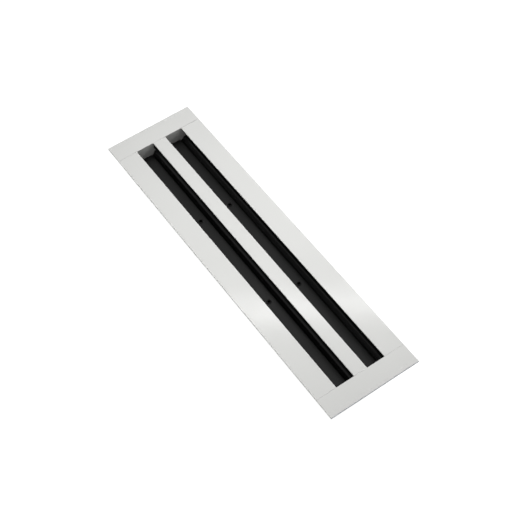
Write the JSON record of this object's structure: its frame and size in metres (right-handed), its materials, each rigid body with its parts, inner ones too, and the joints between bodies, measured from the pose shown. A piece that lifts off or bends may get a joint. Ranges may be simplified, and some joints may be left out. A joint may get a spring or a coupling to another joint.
{
  "type": "linear slot diffuser",
  "caption": "Linear slot air diffuser with a flanged white face, parallel slots, and black sliding blades and tilting vanes inside.",
  "frame": {"origin": "under the middle of the body, at the height of the neck's open edge", "axes": "+X along the slots towards the near end, +Y across the slots towards the right flange, +Z out of the face"},
  "size_m": [0.395, 0.1, 0.045],
  "materials": {
    "white_paint": "satin white powder coat",
    "black_paint": "satin black powder coat",
    "black_nylon": "matt black moulded nylon",
    "zinc_steel": "bright zinc plate",
    "bare_aluminium": "mill finish"
  },
  "bodies": {
    "frame": {"side_frame_left": "white_paint", "side_frame_right": "white_paint", "centre_cover_strip": "white_paint", "end_cap_far": "white_paint", "end_cap_near": "white_paint", "centre_rail": "black_paint", "cross_bar_left_far": "black_paint", "cross_bar_left_near": "black_paint", "cross_bar_right_far": "black_paint", "cross_bar_right_near": "black_paint", "pivot_pin_left_far": "zinc_steel", "pivot_pin_left_near": "zinc_steel", "pivot_pin_right_far": "zinc_steel", "pivot_pin_right_near": "zinc_steel", "tie_rod": "zinc_steel", "tie_nut_left": "zinc_steel", "tie_nut_right": "zinc_steel", "cap_screw_far_left_upper": "zinc_steel", "cap_screw_far_left_lower": "zinc_steel", "cap_screw_far_middle_upper": "zinc_steel", "cap_screw_far_middle_lower": "zinc_steel", "cap_screw_far_right_upper": "zinc_steel", "cap_screw_far_right_lower": "zinc_steel", "cap_screw_near_left_upper": "zinc_steel", "cap_screw_near_left_lower": "zinc_steel", "cap_screw_near_middle_upper": "zinc_steel", "cap_screw_near_middle_lower": "zinc_steel", "cap_screw_near_right_upper": "zinc_steel", "cap_screw_near_right_lower": "zinc_steel", "tie_spacer_left": "bare_aluminium", "tie_spacer_right": "bare_aluminium"},
    "blade_left": {"pattern_plate_left": "black_paint", "plate_eyelet_left_far": "black_paint", "plate_eyelet_left_near": "black_paint", "slide_shoe_left_far": "black_nylon", "slide_shoe_left_near": "black_nylon"},
    "vane_left": {"deflector_left": "black_paint"},
    "blade_right": {"pattern_plate_right": "black_paint", "plate_eyelet_right_far": "black_paint", "plate_eyelet_right_near": "black_paint", "slide_shoe_right_far": "black_nylon", "slide_shoe_right_near": "black_nylon"},
    "vane_right": {"deflector_right": "black_paint"}
  },
  "joints": [
    {"name": "blade_slide_left", "type": "slide", "parent": "frame", "child": "blade_left", "axis": [0, 1, 0], "range_m": [-0.005, 0]},
    {"name": "blade_slide_right", "type": "slide", "parent": "frame", "child": "blade_right", "axis": [0, 1, 0], "range_m": [-0.005, 0]},
    {"name": "vane_tilt_left", "type": "hinge", "parent": "frame", "child": "vane_left", "pos_m": [0, -0.0121, 0.0245], "axis": [1, 0, 0], "range_deg": [-20, 1]},
    {"name": "vane_tilt_right", "type": "hinge", "parent": "frame", "child": "vane_right", "pos_m": [0, 0.0229, 0.0245], "axis": [1, 0, 0], "range_deg": [-13, 11]}
  ]
}
